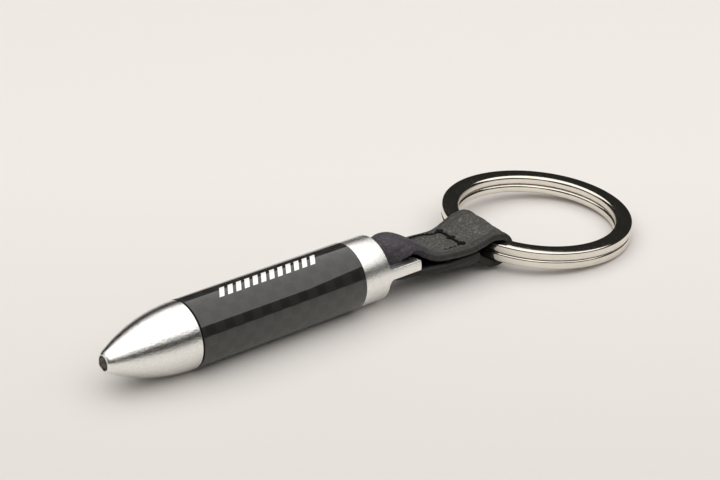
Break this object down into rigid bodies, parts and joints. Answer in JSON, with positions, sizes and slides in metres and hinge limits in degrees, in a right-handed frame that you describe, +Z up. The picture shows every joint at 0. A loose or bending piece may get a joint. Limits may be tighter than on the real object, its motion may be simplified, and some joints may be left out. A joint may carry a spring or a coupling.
{
  "type": "keychain flashlight",
  "caption": "Slim bullet-nosed twist flashlight with a carbon-weave sleeve, a slotted metal tail, a folded leather strap and a flat split ring.",
  "frame": {"origin": "below the middle of the object as it lies, on the surface that it lies on", "axes": "+X along the light towards the tail and the ring, +Z up"},
  "size_m": [0.112, 0.035, 0.012],
  "materials": {
    "nose_metal": "satin, bead blasted",
    "window": "clear, slightly smoky",
    "seal_rubber": "matt",
    "led_epoxy": "clear epoxy",
    "lead_wire": "tinned",
    "holder_plastic": "moulded",
    "contact_brass": "bright",
    "cell_steel": "nickel plated",
    "sleeve_film": "heat-shrink film",
    "spring_steel": "drawn wire",
    "core_metal": "turned",
    "carbon": "lacquered carbon-fibre weave with a white printed mark",
    "collar_metal": "satin, bead blasted",
    "leather": "fine grain, soft sheen",
    "thread": "twisted thread",
    "ring_chrome": "polished"
  },
  "bodies": {
    "barrel": {"core_tube": "core_metal", "carbon_sleeve": "carbon", "nose_seal": "seal_rubber", "tail_collar": "collar_metal", "battery_spring": "spring_steel"},
    "light_module": {"led": "led_epoxy", "led_leads": "lead_wire", "led_holder": "holder_plastic", "contact_disc": "contact_brass", "battery_cell_1": "cell_steel", "battery_cell_2": "cell_steel", "battery_cell_3": "cell_steel", "battery_cell_4": "cell_steel", "battery_sleeve": "sleeve_film"},
    "head": {"nose_cone": "nose_metal", "lens_window": "window"},
    "strap": {"strap_front": "leather", "strap_stitching": "thread"},
    "strap_loop": {"strap_rear": "leather"},
    "ring": {"split_ring": "ring_chrome"}
  },
  "joints": [
    {"name": "module_slide", "type": "slide", "parent": "barrel", "child": "light_module", "axis": [-1, 0, 0], "range_m": [-0.00025, 0.00275], "deforming": ["battery_spring"]},
    {"name": "head_twist", "type": "hinge", "parent": "light_module", "child": "head", "pos_m": [-0.04525, -0.0011, 0.006], "axis": [-1, 0, 0], "range_deg": [-120.9, 1320.9]},
    {"name": "strap_pivot", "type": "hinge", "parent": "barrel", "child": "strap", "pos_m": [0.00473, -0.0011, 0.006], "axis": [0, 0.9945, -0.1045], "range_deg": [-80, 80]},
    {"name": "strap_flex", "type": "hinge", "parent": "strap", "child": "strap_loop", "pos_m": [0.01933, -0.00064, 0.00433], "axis": [-0.0297, 0.9982, 0.0519], "range_deg": [-60, 45]},
    {"name": "ring_turn", "type": "hinge", "parent": "strap_loop", "child": "ring", "pos_m": [0.03848, 0, 0.00308], "axis": [0.0667, -0.0498, 0.9965], "continuous": true}
  ],
  "couplings": [
    {"joint": "head_twist", "follows": "module_slide", "rad_per_m": 8377.6}
  ]
}
